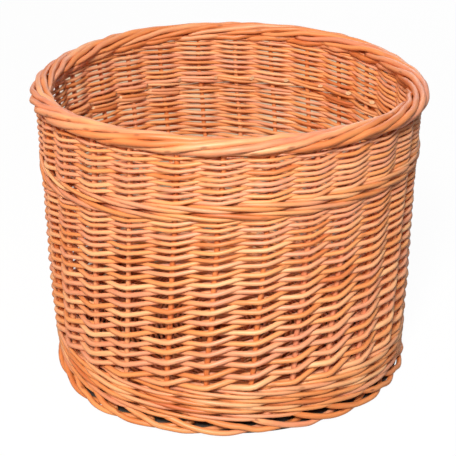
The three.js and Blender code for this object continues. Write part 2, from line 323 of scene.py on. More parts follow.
def compute(tree, operation, first, second, third=0.0):
    # one step of arithmetic
    node = addNode(tree, "ShaderNodeMath", [(0, first), (1, second), (2, third)], operation=operation)
    return node.outputs[0]


# The skin of a peeled, boiled willow rod: its colour by the rod's own tone, which drifts slowly, with
# fine streaks lengthwise, small dark bud scars, and a low relief of both.
willowTones = [
    (0.0, 0xD0723C),
    (0.2, 0xE28F50),
    (0.42, 0xEFA466),
    (0.6, 0xE59C76),
    (0.8, 0xF3B27C),
    (1.0, 0xF6C28C),
]
willow = {
    "patchGap": 37.0,  # sets the patterns of two rods apart by their tones
    "driftScale": 9.0,
    "driftDetail": 3.0,
    "driftReach": 2.4,
    "streakStretch": (22.0, 5.0, 1.0),  # noise cells in a metre of rod, and once round it
    "streakDetail": 5.0,
    "streakRoughness": 0.65,
    "streakFrom": 0.42,
    "streakFull": 0.7,
    "streakColour": 0xD69A77,
    "scarStretch": (16.0, 1.0, 1.0),
    "scarEdge": 0.085,
    "scarMiddle": 0.03,
    "scarColour": 0x8A4526,
    "scarHeight": 0.8,
    "smoothest": 0.4,
    "roughest": 0.62,
    "reliefStrength": 0.35,
    "reliefDepth": 0.0006,
    "coatRoughness": 0.35,
}


def willowSkinGroup():
    tree = bpy.data.node_groups.new("willowSkin", "ShaderNodeTree")
    interface = tree.interface
    for name in ("Streaks", "Scars", "Drift"):
        interface.new_socket(name, in_out="INPUT", socket_type="NodeSocketFloat")
    interface.new_socket("Tint", in_out="INPUT", socket_type="NodeSocketColor")
    interface.new_socket("Color", in_out="OUTPUT", socket_type="NodeSocketColor")
    interface.new_socket("Roughness", in_out="OUTPUT", socket_type="NodeSocketFloat")
    interface.new_socket("Height", in_out="OUTPUT", socket_type="NodeSocketFloat")
    start = tree.nodes.new("NodeGroupInput")
    end = tree.nodes.new("NodeGroupOutput")
    tone = addNode(tree, "ShaderNodeAttribute", attribute_name="tone").outputs["Fac"]
    rodMap = addNode(tree, "ShaderNodeUVMap", uv_map="rodMap").outputs["UV"]
    place = tree.nodes.new("ShaderNodeTexCoord").outputs["Object"]
    patch = compute(tree, "MULTIPLY", tone, willow["patchGap"])
    patchPlace = addNode(tree, "ShaderNodeCombineXYZ", [("X", tone), ("Z", patch)])
    ownMap = addNode(
        tree, "ShaderNodeVectorMath",
        [(0, rodMap), (1, patchPlace.outputs[0])],
        operation="ADD",
    ).outputs[0]
    # the drift: slow changes of tone through space
    driftNoise = addNode(
        tree, "ShaderNodeTexNoise",
        [("Vector", place), ("Scale", willow["driftScale"]), ("Detail", willow["driftDetail"])],
    ).outputs["Fac"]
    fromMean = compute(tree, "SUBTRACT", driftNoise, 0.5)
    drift = compute(tree, "MULTIPLY", fromMean, start.outputs["Drift"])
    drifted = compute(tree, "ADD", tone, compute(tree, "MULTIPLY", drift, willow["driftReach"]))
    skin = addRamp(tree, drifted, willowTones)
    # the streaks: noise squeezed round the rod and stretched along it
    streakPlace = addNode(
        tree, "ShaderNodeMapping",
        [("Vector", ownMap), ("Scale", willow["streakStretch"])],
    ).outputs[0]
    streaks = addNode(
        tree, "ShaderNodeTexNoise",
        [
            ("Vector", streakPlace),
            ("Scale", 1.0),
            ("Detail", willow["streakDetail"]),
            ("Roughness", willow["streakRoughness"]),
        ],
    ).outputs["Fac"]
    streakMask = addNode(
        tree, "ShaderNodeMapRange",
        [("Value", streaks), ("From Min", willow["streakFrom"]), ("From Max", willow["streakFull"])],
    ).outputs[0]
    dark = mixColours(tree, 1.0, skin, linear(willow["streakColour"]), "MULTIPLY")
    streakShare = compute(tree, "MULTIPLY", streakMask, start.outputs["Streaks"])
    streaked = mixColours(tree, streakShare, skin, dark)
    # the bud scars: one small oval in each cell of the rod's own map
    scarPlace = addNode(
        tree, "ShaderNodeMapping",
        [("Vector", ownMap), ("Scale", willow["scarStretch"])],
    ).outputs[0]
    cells = addNode(
        tree, "ShaderNodeTexVoronoi",
        [("Vector", scarPlace), ("Scale", 1.0), ("Randomness", 1.0)],
        voronoi_dimensions="2D",
    ).outputs["Distance"]
    scarMask = addNode(
        tree, "ShaderNodeMapRange",
        [("Value", cells), ("From Min", willow["scarEdge"]), ("From Max", willow["scarMiddle"])],
    ).outputs[0]
    scarShare = compute(tree, "MULTIPLY", scarMask, start.outputs["Scars"])
    scarred = mixColours(tree, scarShare, streaked, linear(willow["scarColour"]))
    tinted = mixColours(tree, 1.0, scarred, start.outputs["Tint"], "MULTIPLY")
    rough = addNode(
        tree, "ShaderNodeMapRange",
        [("Value", streaks), ("To Min", willow["smoothest"]), ("To Max", willow["roughest"])],
    ).outputs[0]
    height = compute(tree, "MULTIPLY_ADD", scarMask, willow["scarHeight"], streaks)
    tree.links.new(tinted, end.inputs["Color"])
    tree.links.new(rough, end.inputs["Roughness"])
    tree.links.new(height, end.inputs["Height"])
    return tree


willowSkin = willowSkinGroup()


def rodMaterial(name, streaks, scars, drift, tint, coat):
    # one finish of willow rods, with its own shares of the skin's marks and its own tint
    material = bpy.data.materials.new(name)
    material.use_nodes = True
    tree = material.node_tree
    shader = tree.nodes["Principled BSDF"]
    skin = tree.nodes.new("ShaderNodeGroup")
    skin.node_tree = willowSkin
    skin.inputs["Streaks"].default_value = streaks
    skin.inputs["Scars"].default_value = scars
    skin.inputs["Drift"].default_value = drift
    skin.inputs["Tint"].default_value = linear(tint)
    bump = addNode(
        tree, "ShaderNodeBump",
        [
            ("Height", skin.outputs["Height"]),
            ("Strength", willow["reliefStrength"]),
            ("Distance", willow["reliefDepth"]),
        ],
    )
    tree.links.new(skin.outputs["Color"], shader.inputs["Base Color"])
    tree.links.new(skin.outputs["Roughness"], shader.inputs["Roughness"])
    tree.links.new(bump.outputs["Normal"], shader.inputs["Normal"])
    shader.inputs["Coat Weight"].default_value = coat
    shader.inputs["Coat Roughness"].default_value = willow["coatRoughness"]
    return material


# A cut end: pale wood in faint rings, with a darker pith in its middle and a darker rim.
cutTones = [
    (0.0, 0xB98458),
    (0.07, 0xCB9468),
    (0.11, 0xF0D2A8),
    (0.3, 0xE6C096),
    (0.42, 0xF0D0A6),
    (0.5, 0xD79A66),
]
cutEnd = {
    "fibreScale": 900.0,
    "fibreDetail": 3.0,
    "fibreShare": 0.5,
    "fibreColour": 0xC9965F,
    "reliefStrength": 0.5,
    "reliefDepth": 0.0004,
    "roughness": 0.8,
}


def cutMaterial():
    material = bpy.data.materials.new("cutWillow")
    material.use_nodes = True
    tree = material.node_tree
    shader = tree.nodes["Principled BSDF"]
    disc = addNode(tree, "ShaderNodeUVMap", uv_map="rodMap").outputs["UV"]
    fromMiddle = addNode(
        tree, "ShaderNodeVectorMath",
        [(0, disc), (1, (0.5, 0.5, 0.0))],
        operation="DISTANCE",
    ).outputs["Value"]
    rings = addRamp(tree, fromMiddle, cutTones)
    place = tree.nodes.new("ShaderNodeTexCoord").outputs["Object"]
    fibres = addNode(
        tree, "ShaderNodeTexNoise",
        [("Vector", place), ("Scale", cutEnd["fibreScale"]), ("Detail", cutEnd["fibreDetail"])],
    ).outputs["Fac"]
    fibreShare = compute(tree, "MULTIPLY", fibres, cutEnd["fibreShare"])
    mottled = mixColours(tree, fibreShare, rings, linear(cutEnd["fibreColour"]))
    bump = addNode(
        tree, "ShaderNodeBump",
        [("Height", fibres), ("Strength", cutEnd["reliefStrength"]), ("Distance", cutEnd["reliefDepth"])],
    )
    tree.links.new(mottled, shader.inputs["Base Color"])
    tree.links.new(bump.outputs["Normal"], shader.inputs["Normal"])
    shader.inputs["Roughness"].default_value = cutEnd["roughness"]
    return material


cutWillow = cutMaterial()
stakeWillow = rodMaterial(
    "stakeWillow", streaks=0.5, scars=0.55, drift=0.3, tint=0xFAEEEA, coat=0.12)
weaverWillow = rodMaterial(
    "weaverWillow", streaks=0.45, scars=0.5, drift=0.35, tint=0xFFFFFF, coat=0.12)
waleWillow = rodMaterial(
    "waleWillow", streaks=0.45, scars=0.5, drift=0.35, tint=0xF6F3F0, coat=0.12)
footWillow = rodMaterial(
    "footWillow", streaks=0.6, scars=0.7, drift=0.3, tint=0xFFFAF6, coat=0.1)
baseWillow = rodMaterial(
    "baseWillow", streaks=0.7, scars=0.6, drift=0.35, tint=0xEBD8C8, coat=0.05)
print("willow finishes made")

# Base: seven sticks in a cross, four of them slit for the other three, opened out and woven round.
base = {
    "level": 0.0165,
    "crown": 0.008,
    "edge": 0.2067,
    "stickRadius": 0.0037,
    "stickTones": (0, 0.6),
    "stickRings": 70,
    "stickSides": 12,
    "sticksApart": 1.04,  # in sticks' widths
    "fanFrom": 0.6,  # in half widths of the cross
    "fanFull": 2.2,
    "crossArms": 4,
    "slitSticks": 4,
    "throughSticks": 3,
    "slitHalf": 0.0117,  # half of a slit's open length; the next four count in it
    "wholeFrom": 1.5,
    "partedUntil": 0.9,
    "closedFrom": 2.0,
    "splitUntil": 2.1,
    "wholeRings": 34,
    "splitRings": 26,
    "splitSides": 10,
    "splitRadius": 0.0027,
    "splitLift": 0.0062,
    "closedLift": 0.45,  # in radii of a split half
    "weaverRadius": 0.0017,
    "weaverTaper": (1.12, 0.86),
    "weaverJitter": 0.0003,
    "weaverPress": 0.95,  # the share of its radius by which it stands off a stick
    "weaverTwist": 0.92,
    "weaverToneSpread": 2.2,
    "weaverSides": 7,
    "bindingFrom": 0.0235,
    "bindingRounds": 3,
    "bindingPitch": 3.6,  # in weaver radii
    "bindingFirmness": 4.0,
    "weaveFrom": 0.046,
    "weavePitch": 0.0062,
    "weaveFirmness": 2.0,
    "samples": 7,  # of a weaver's path at each stick
    "seed": 19,
}


def baseHeight(radius):
    # the base's middle plane rises evenly from its edge to its centre
    return base["level"] + base["crown"] * (1 - radius / wall["radiusAtBase"])


def basePoints(flat, lift=0.0):
    # level points brought to the base's middle plane, or above it by lift
    radius = np.linalg.norm(flat, axis=-1)
    return np.concatenate([flat, (baseHeight(radius) + lift)[..., None]], -1)


def stickFlat(place, along):
    # a stick lies beside its neighbours within the cross and fans out from there: aside = place times
    # one stick's width, then place times the angle between two stick ends
    elbow = (base["slitSticks"] + 1) * base["stickRadius"]
    spread = place * 2 * base["stickRadius"] * base["sticksApart"]
    fan = place * 2 * stakeTurn
    distance = np.abs(along)
    opened = smooth(distance, elbow * base["fanFrom"], elbow * base["fanFull"])
    aside = spread * (1 - opened) + distance * np.tan(fan) * opened
    return np.stack([along, aside], -1)


def turned(flat, angle):
    # turned about the basket's axis
    return flat @ np.array([[np.cos(angle), np.sin(angle)], [-np.sin(angle), np.cos(angle)]])


def stickReach(place):
    # how far along its own line a fanned stick meets the base's edge
    return base["edge"] * np.cos(place * 2 * stakeTurn)


def addStick(bundle, place, angle, along, radius, tone, sides, lift=0.0):
    points = basePoints(turned(stickFlat(place, along), angle), lift)
    addRod(bundle, points, radius, np.array([0.0, 0.0, 1.0]), tone, sides)


def addThroughStick(bundle, place, angle, tone):
    reach = stickReach(place)
    along = np.linspace(-reach, reach, base["stickRings"])
    addStick(bundle, place, angle, along, base["stickRadius"], tone, base["stickSides"])


def addSlitStick(bundle, place, angle, tone):
    # whole on both sides of the cross, and between them two halves that part over and under it
    half = base["slitHalf"]
    for end in (-1, 1):
        along = np.linspace(half * base["wholeFrom"], stickReach(place), base["wholeRings"]) * end
        addStick(bundle, place, angle, along, base["stickRadius"], tone, base["stickSides"])
    closedLift = base["splitRadius"] * base["closedLift"]
    for side in (-1, 1):
        along = np.linspace(-half * base["splitUntil"], half * base["splitUntil"], base["splitRings"])
        parted = 1 - smooth(np.abs(along), half * base["partedUntil"], half * base["closedFrom"])
        lift = side * (closedLift + (base["splitLift"] - closedLift) * parted)
        addStick(bundle, place, angle, along, base["splitRadius"], tone, base["splitSides"], lift)


def makeSticks():
    draw = np.random.default_rng(base["seed"])
    groups = (
        ("through_base_stick", addThroughStick, base["throughSticks"], plainAngle(0.5)),
        ("slit_base_stick", addSlitStick, base["slitSticks"], plainAngle(0.5) + np.pi / 2),
    )
    for node, addKind, count, angle in groups:
        for index in range(count):
            bundle = newBundle()
            tone = draw.uniform(*base["stickTones"])
            addKind(bundle, index - (count - 1) / 2, angle, tone)
            name = f"{node}_{index + 1}"
            buildPiece(bundle, name + "_willow", baseWillow, [name])


def pairingRods(bundle, draw, startRadius, rounds, crossings, firmness, pitch):
    # two rods twist about each other: over one stick while the other goes under, changing places
    # between sticks; up = reach tanh(firmness cos phase) / tanh firmness, out = -twist radius sin phase
    samples = int(rounds * crossings * base["samples"])
    turn = np.linspace(0, rounds * 2 * np.pi, samples)
    phase = turn * crossings / 2
    radius = startRadius + pitch * turn / (2 * np.pi)
    reach = base["stickRadius"] + base["weaverRadius"] * base["weaverPress"]
    for strand in (0, np.pi):
        up = reach * np.tanh(firmness * np.cos(phase + strand)) / np.tanh(firmness)
        up = up + knotNoise(phase / np.pi, base["weaverJitter"], draw)
        out = -base["weaverRadius"] * base["weaverTwist"] * np.sin(phase + strand)
        flat = polar(radius + out, plainAngle(0.5) + turn)
        points = basePoints(flat, up)
        # a rod lasts for half a round
        cuts = np.linspace(0, samples - 1, int(rounds * 2) + 1).astype(int)
        for first, last in zip(cuts[:-1], cuts[1:]):
            stretch = points[first:last + 1]
            radii = base["weaverRadius"] * np.linspace(*base["weaverTaper"], len(stretch))
            tone = draw.beta(base["weaverToneSpread"], base["weaverToneSpread"])
            addRod(bundle, stretch, radii, outward(stretch), tone, base["weaverSides"])


def makeBaseWeave():
    # a few rounds bind the arms of the cross, and the pairing then takes in each stick's end by itself
    draw = np.random.default_rng(base["seed"] + 1)
    bundle = newBundle()
    rounds = base["bindingRounds"]
    pitch = base["weaverRadius"] * base["bindingPitch"]
    pairingRods(
        bundle, draw, base["bindingFrom"], rounds, base["crossArms"], base["bindingFirmness"], pitch)
    rounds = (base["edge"] - base["weaveFrom"]) / base["weavePitch"]
    stickEnds = wall["stakeCount"] // 2
    pairingRods(
        bundle, draw, base["weaveFrom"], rounds, stickEnds, base["weaveFirmness"], base["weavePitch"])
    buildPiece(bundle, "base_weave_willow", baseWillow, ["base_weave"])


makeSticks()
makeBaseWeave()
print("base made")

# Stakes: each starts beside a base stick, turns up at the base's edge, climbs the wall and rolls into
# the border: behind the next stake, out under the border, and then round its oval section.
stakes = {
    "radius": 0.003,
    "borderRadius": 0.0037,
    "buttFrom": 0.150,
    "besideStick": 0.0072,
    "baseShares": (0, 0.35, 0.7, 1),  # where its points lie from the butt to the base's edge
    "turnUpFrom": 0.209,
    "uprightFrom": 0.045,
    "uprightUntil": 0.012,  # below the top of the wall
    "uprightStep": 0.02,
    "sway": 0.0006,
    "swayLength": 0.12,
    "ownThickness": (0.93, 1.07),
    "swell": 0.02,
    "swellLength": 40,  # in steps
    "tones": (0.2, 0.85),
    "sides": 12,
    "slant": 0.9,
    "wrapFrom": 2,  # in stakes passed
    "wrapTo": (7.0, 7.8),
    "wrapStartAngle": -70,
    "wrapOut": 0.0102,
    "wrapUp": 0.0060,
    "wrapMiddle": 0.0098,
    "wrapStep": 0.0078,  # how far round the oval at each stake
    "wrapSpacing": 0.4,  # of the path's points
    "thickFrom": 0.7,
    "thinFrom": 5.2,
    "tipRadius": 0.0029,
    "borderJitter": 0.0006,
    "step": 0.004,
    "seed": 23,
}
# a stake turns up in three steps: height above the base's edge, and how far inward it lies there
turnUp = np.array([
    [0.0012, 0.0028],
    [0.0045, 0.0008],
    [0.011, 0],
])
# the border's start: stakes passed, then outward and up in millimetres from the top of the wall
borderStart = np.array([
    [0, 0, 0.5],
    [0.12, -0.7, 3.0],
    [0.4, -3.4, 3.6],
    [0.7, -5.9, 2.4],
    [1.0, -6.6, 1.0],
    [1.25, -5.2, 0.4],
    [1.5, -2.6, 0.4],
    [1.75, 0.6, 1.7],
])


def borderWay(wrapTo):
    # after its start a rod goes round the oval: angle = first angle + distance / mean radius, evened out
    # by a sine of twice the angle; out = half width cos angle, up = middle + half height sin angle. It
    # thins towards its tip, which lies that much nearer the oval's middle
    passed = np.arange(stakes["wrapFrom"], wrapTo, stakes["wrapSpacing"])
    ring = (stakes["wrapOut"] + stakes["wrapUp"]) / 2
    lean = (stakes["wrapOut"] - stakes["wrapUp"]) / 4
    even = np.radians(stakes["wrapStartAngle"]) + (passed - stakes["wrapFrom"]) * stakes["wrapStep"] / ring
    angle = even + lean / ring * np.sin(2 * even)
    radius = stakes["borderRadius"] + (stakes["tipRadius"] - stakes["borderRadius"]) * smooth(
        passed, stakes["thinFrom"], wrapTo)
    sunk = stakes["borderRadius"] - radius
    out = (stakes["wrapOut"] - sunk) * np.cos(angle)
    up = stakes["wrapMiddle"] + (stakes["wrapUp"] - sunk) * np.sin(angle)
    thickened = smooth(borderStart[:, 0], 0, stakes["thickFrom"])
    startRadius = stakes["radius"] + (stakes["borderRadius"] - stakes["radius"]) * thickened
    start = np.column_stack([borderStart * [1, millimetre, millimetre], startRadius])
    return np.concatenate([start, np.column_stack([passed, out, up, radius])])


def stakePath(index, draw):
    # from the butt beside a base stick to the tip in the border, as points with the rod's radius
    stickPlace = index + 0.5 - index % 2
    beside = stakes["besideStick"] / stakes["buttFrom"] / stakeTurn * (1 if index % 2 else -1)
    butt = polar(stakes["buttFrom"], plainAngle(stickPlace + beside))
    edge = polar(stakes["turnUpFrom"] + footShift(baseAngle(index)), baseAngle(index))
    share = np.array(stakes["baseShares"])[:, None]
    inBase = basePoints(butt * (1 - share) + edge * share)
    corner = stakeLine(index, baseHeight(wall["radiusAtBase"]) + turnUp[:, 0])
    corner -= outward(corner) * turnUp[:, 1:]
    until = wall["top"] - rimDipAt(index) - stakes["uprightUntil"]
    heights = np.arange(stakes["uprightFrom"], until, stakes["uprightStep"])
    upright = stakeLine(index, heights)
    sway = wander(heights, stakes["sway"], stakes["swayLength"], draw)
    upright += outward(upright) * sway[:, None] * 0.5
    upright[:, :2] += polar(sway, baseAngle(index) + np.pi / 2)
    way = borderWay(draw.uniform(*stakes["wrapTo"]))
    rolled = stakeLine(index + way[:, 0], wall["top"])
    rolled += outward(rolled) * way[:, 1:2]
    rolled[:, 2] += way[:, 2] - rimDipAt(index + way[:, 0])
    rolled += draw.normal(0, stakes["borderJitter"], rolled.shape)
    points = np.concatenate([inBase, corner, upright, rolled])
    radii = np.concatenate([np.full(len(points) - len(rolled), stakes["radius"]), way[:, 3]])
    # the column after the radius turns the rod's side from up, in the base, to inward
    turning = [0.3, 0.7]
    raised = np.concatenate([
        np.zeros(len(inBase)),
        turning,
        np.ones(len(points) - len(inBase) - len(turning)),
    ])
    return smoothPath(np.column_stack([points, radii, raised]), stakes["step"])


def makeStakes():
    draw = np.random.default_rng(stakes["seed"])
    for index in range(wall["stakeCount"]):
        path = stakePath(index, draw)
        points, radii, raised = path[:, :3], path[:, 3], np.clip(path[:, 4:], 0, 1)
        side = np.array([0.0, 0.0, 1.0]) * (1 - raised) - outward(points) * raised
        steps = np.arange(len(points))
        swell = 1 + wander(steps, stakes["swell"], stakes["swellLength"], draw)
        own = draw.uniform(*stakes["ownThickness"])
        tone = draw.uniform(*stakes["tones"])
        bundle = newBundle()
        addRod(bundle, points, radii * swell * own, side, tone, stakes["sides"], stakes["slant"])
        name = f"stake_{index + 1:02d}"
        buildPiece(bundle, name + "_willow", stakeWillow, [name])


makeStakes()
print("stakes and border made")

# Randing: one weaver from each stake, all climbing together, in front of one stake and behind the next.
weaver = {
    "buttReach": 1.375,  # in stakes before its first front stroke
    "buttScatter": 0.1,
    "buttInside": 1.1,  # the butt runs straight inside the wall, so far in weavers' reaches
    "sharpness": 0.92,
    "outRise": 1.4,  # in rows
    "quickness": 1.5,
    "lowestRow": -0.35,
    "highestRow": 0.6,  # above the last
    "thicknessScatter": 0.06,
    "tipTaper": 0.3,
    "swell": 0.03,
    "swellLength": 3,  # in stakes
    "press": 0.98,  # the share of its radius by which it stands off the stake
    "toneSpread": 2.8,
    "samples": 8,
    "sides": 8,
    "slant": 1.1,
}
lowerRanding = {
    "bottom": 0.058,
    "top": 0.271,
    "rows": 37,
    "crowding": 0.4,
    "radiusBelow": 0.0032,
    "radiusAbove": 0.0022,
    "jitter": 0.0005,
    "buttSwell": 0.1,
    "seed": 31,
    "nodes": ("lower_randing_a", "lower_randing_b"),
}
upperRanding = {
    "bottom": 0.2885,
    "top": 0.3417,
    "rows": 14,
    "crowding": 0.0,
    "radiusBelow": 0.0022,
    "radiusAbove": 0.0022,
    "jitter": 0.0004,
    "buttSwell": 0.2,
    "seed": 37,
    "nodes": ("upper_randing_a", "upper_randing_b"),
}


def rowAt(stroke):
    # stroke s lies at the weaver's first stake plus s, outside when s is even. It climbs outRise rows
    # from a front stroke to the next back one, and the rest of two rows from there to the next front
    # one, quick at first: climb = 1 - (1 - part)^quickness
    whole = np.floor(stroke)
    part = stroke - whole
    climb = 1 - (1 - part) ** weaver["quickness"]
    half = (weaver["outRise"] - 1) / 2
    goingIn = whole - half + weaver["outRise"] * climb
    comingOut = whole + half + (2 - weaver["outRise"]) * climb
    return np.where(whole % 2 == 0, goingIn, comingOut)


def randingRod(bundle, band, start, draw):
    # rows crowd together upwards: with s a row's share of all rows, it lies s (1 + crowding - crowding s)
    # of the way up the band. Across the wall the rod swings by arcsin(sharpness cos(pi stroke)), and its
    # butt keeps to the inside
    firstStroke = -weaver["buttReach"] - draw.uniform(0, weaver["buttScatter"])
    stroke = np.arange(firstStroke, band["rows"] + 1, 1 / weaver["samples"])
    row = np.clip(rowAt(stroke) + 0.5, weaver["lowestRow"], band["rows"] + weaver["highestRow"])
    share = row / band["rows"]
    crowded = share * (1 + band["crowding"] - band["crowding"] * share)
    own = draw.normal(1, weaver["thicknessScatter"])
    thickness = own * (band["radiusBelow"] + (band["radiusAbove"] - band["radiusBelow"]) * share)
    # its tip thins over the last two strokes, and its butt is thicker
    ends = 1 - weaver["tipTaper"] * smooth(stroke, stroke[-1] - 2, stroke[-1])
    ends += band["buttSwell"] * (1 - smooth(stroke, -1, 0.5))
    radii = thickness * ends * (1 + wander(stroke, weaver["swell"], weaver["swellLength"], draw))
    low = band["bottom"] + band["radiusBelow"]
    high = band["top"] - band["radiusAbove"]
    height = low + (high - low) * crowded + knotNoise(stroke, band["jitter"], draw)
    reach = stakes["radius"] + thickness * weaver["press"]
    swing = np.arcsin(weaver["sharpness"] * np.cos(np.pi * stroke)) / np.arcsin(weaver["sharpness"])
    swing = np.where(stroke < -1, -weaver["buttInside"], swing)
    offset = reach * swing + knotNoise(stroke, band["jitter"] * 0.5, draw)
    points = wallPoints(start + stroke, height, offset)
    tone = draw.beta(weaver["toneSpread"], weaver["toneSpread"])
    addRod(bundle, points, radii, outward(points), tone, weaver["sides"], weaver["slant"])


def makeRanding(band):
    draw = np.random.default_rng(band["seed"])
    for half, node in enumerate(band["nodes"]):
        bundle = newBundle()
        for start in range(half, wall["stakeCount"], 2):
            randingRod(bundle, band, start, draw)
        buildPiece(bundle, node + "_willow", weaverWillow, [node])


makeRanding(lowerRanding)
makeRanding(upperRanding)
print("randing made")

# Wales: in each round three rods pass in front of two stakes and behind one, and follow end to end.
waling = {
    "strokes": ((0, 27), (27, 57), (57, 84)),  # each rod's first and last stake of three rounds
    "joinStep": 9,
    "startEarly": 0.42,
    "endLate": 0.45,
    "waveMiddle": 0.333,  # in reaches, as the next two
    "waveSwing": 1.04,
    "secondSwing": 0.293,
    "rise": 0.267,  # in heights of a round
    "tuck": 0.95,  # in radii
    "tuckBetween": (0.1, 0.9),
    "taper": (1.12, 0.88),
    "thicknessScatter": 0.05,
    "toneSpread": 1.8,
    "samples": 7,
    "sides": 8,
    "slant": 1.2,
}
upsett = {
    "node": "upsett_round",
    "bottom": 0.0178,
    "top": 0.058,
    "rounds": 4,
    "radius": 0.0026,
    "jitter": 0.0006,
    "firstJoin": 3,
    "seed": 41,
}
middleWale = {
    "node": "middle_wale_round",
    "bottom": 0.271,
    "top": 0.2905,
    "rounds": 2,
    "radius": 0.0025,
    "jitter": 0.0004,
    "firstJoin": 17,
    "seed": 43,
}


def waleRod(bundle, wale, middle, roundHeight, join, first, last, draw):
    # stroke t lies at place join + t: inside where t is a multiple of three, high in front of the next
    # stake and low in front of the one after it; out = reach (wave middle - wave swing cos turn - second
    # swing cos of twice the turn), up = rise sin turn. Its start tucks under the rod before it, and its
    # end over the next
    stroke = np.arange(first - waling["startEarly"], last + waling["endLate"], 1 / waling["samples"])
    turn = 2 * np.pi * stroke / 3
    reach = stakes["radius"] + wale["radius"]
    swing = waling["waveMiddle"] - waling["waveSwing"] * np.cos(turn)
    out = reach * (swing - waling["secondSwing"] * np.cos(2 * turn))
    up = roundHeight * waling["rise"] * np.sin(turn)
    near, far = waling["tuckBetween"]
    startTuck = 1 - smooth(stroke, first + near, first + far)
    endTuck = smooth(stroke, last - far, last - near)
    up = up + wale["radius"] * waling["tuck"] * (endTuck - startTuck)
    up = up + knotNoise(stroke, wale["jitter"], draw)
    own = draw.normal(1, waling["thicknessScatter"])
    thin = np.linspace(*waling["taper"], len(stroke)) * own
    points = wallPoints(join + stroke, middle + up, out)
    radii = wale["radius"] * thin
    tone = draw.beta(waling["toneSpread"], waling["toneSpread"])
    addRod(bundle, points, radii, outward(points), tone, waling["sides"], waling["slant"])


def makeWale(wale):
    draw = np.random.default_rng(wale["seed"])
    roundHeight = (wale["top"] - wale["bottom"]) / wale["rounds"]
    for index in range(wale["rounds"]):
        middle = wale["bottom"] + (index + 0.5) * roundHeight
        join = wale["firstJoin"] + index * waling["joinStep"]
        bundle = newBundle()
        for first, last in waling["strokes"]:
            waleRod(bundle, wale, middle, roundHeight, join, first, last, draw)
        node = f"{wale['node']}_{index + 1}"
        buildPiece(bundle, node + "_willow", waleWillow, [node])


makeWale(upsett)
makeWale(middleWale)
print("wales made")

# Foot: a rod at each stake slants down from the upsett and lies along the floor past the next two.
foot = {
    "radius": 0.0036,
    "taper": (1.02, 0.8),
    "jitter": 0.0006,
    "heightScatter": 0.0009,
    "tones": (0.05, 0.75),
    "step": 0.004,
    "sides": 12,
    "slant": 0.9,
    "seed": 47,
}
# stakes passed, then outward and up in metres
footWay = np.array([
    [-0.1, -0.001, 0.029],
    [0.05, 0.0022, 0.0225],
    [0.3, 0.0048, 0.0168],
    [0.6, 0.0068, 0.0128],
    [0.9, 0.0078, 0.0094],
    [1.2, 0.0082, 0.0063],
    [1.6, 0.007, 0.0042],
    [2.0, 0.0022, 0.0037],
    [2.4, -0.0042, 0.0042],
    [2.7, -0.0075, 0.0052],
])


def makeFoot():
    draw = np.random.default_rng(foot["seed"])
    bundle = newBundle()
    for index in range(wall["stakeCount"]):
        points = stakeLine(index + footWay[:, 0], 0.0)
        points += outward(points) * footWay[:, 1:2]
        points[:, 2] = footWay[:, 2]
        points += draw.normal(0, foot["jitter"], points.shape)
        points[:, 2] += draw.normal(0, foot["heightScatter"])
        # no rod sinks into the floor, before or after its path is smoothed
        points[:, 2] = np.maximum(points[:, 2], foot["radius"])
        points = smoothPath(points, foot["step"])
        points[:, 2] = np.maximum(points[:, 2], foot["radius"])
        radii = foot["radius"] * np.linspace(*foot["taper"], len(points))
        tone = draw.uniform(*foot["tones"])
        addRod(bundle, points, radii, outward(points), tone, foot["sides"], foot["slant"])
    buildPiece(bundle, "foot_border_willow", footWillow, ["foot_border"])


makeFoot()
print("foot made")

# Studio: a camera at the photograph's place, a soft key lamp, weaker ones at both sides and at the back,
# a dim tinted sky and a pale floor.
studio = {
    "cameraPlace": (0.0, -1.352, 0.771),
    "cameraPitch": 24.34,
    "lens": 93.44,
    "sensorWidth": 36,
    "shiftX": -0.0023,
    "shiftY": 0.0005,
    "seesUntil": 50,
    "lampsAim": (0.0, 0.0, 0.15),
    "keyPlace": (-0.32, -2.25, 2.0),
    "keySize": 0.7,
    "keyPower": 106,
    "keyColour": (1.0, 0.97, 0.93),
    "leftPlace": (-2.2, -0.7, 1.0),
    "leftSize": 1.2,
    "leftPower": 7,
    "leftColour": (1.0, 0.38, 0.06),
    "rightPlace": (1.9, -1.6, 1.5),
    "rightSize": 2.0,
    "rightPower": 2,
    "rightColour": (0.72, 0.8, 1.0),
    "backPlace": (0.6, 2.6, 1.4),
    "backSize": 1.6,
    "backPower": 14,
    "backColour": (0.88, 0.93, 1.0),
    "skyHigh": 0.28,
    "skyLow": 0.09,
    "skyLeft": (1.0, 0.68, 0.42, 1),
    "skyRight": (0.36, 0.62, 0.94, 1),
    "skySpread": 0.8,
}
# The floor is a painted near-black shade inside the foot. Behind the basket, where it is seen only through
# the weaving, it glows in a painted brown shade: a region from the foot's circle to a wider one on which
# the camera sees the rim.
ground = {
    "half": 6.0,
    "glow": 0.88,
    "glowStrength": 1.09,
    "colour": (0.36, 0.36, 0.36, 1),
    "footRadius": 0.2165,
    "footMiddle": (0.0015, 0.0, 0.0),
    "paintedShadeUnderFoot": (0.11, 0.1, 0.09, 1),
    "rimRadius": 0.425,
    "rimBehind": 1.18,
    "shadeFade": 0.07,
    "nearShade": (0.2, 0.135, 0.09, 1),
    "farShade": (0.6, 0.44, 0.29, 1),
    "farFrom": 0.35,  # of the way behind
    "farFull": 0.7,
}


def makeLamp(name):
    # a round lamp that faces lampsAim
    light = bpy.data.lights.new(name, "AREA")
    light.shape = "DISK"
    light.size = studio[name + "Size"]
    light.energy = studio[name + "Power"]
    light.color = studio[name + "Colour"]
    lamp = bpy.data.objects.new(name, light)
    lamp.location = studio[name + "Place"]
    towards = np.array(studio["lampsAim"]) - np.array(studio[name + "Place"])
    flat = np.hypot(towards[0], towards[1])
    lamp.rotation_euler = (np.arctan2(flat, -towards[2]), 0, np.arctan2(-towards[0], towards[1]))
    bpy.context.scene.collection.objects.link(lamp)


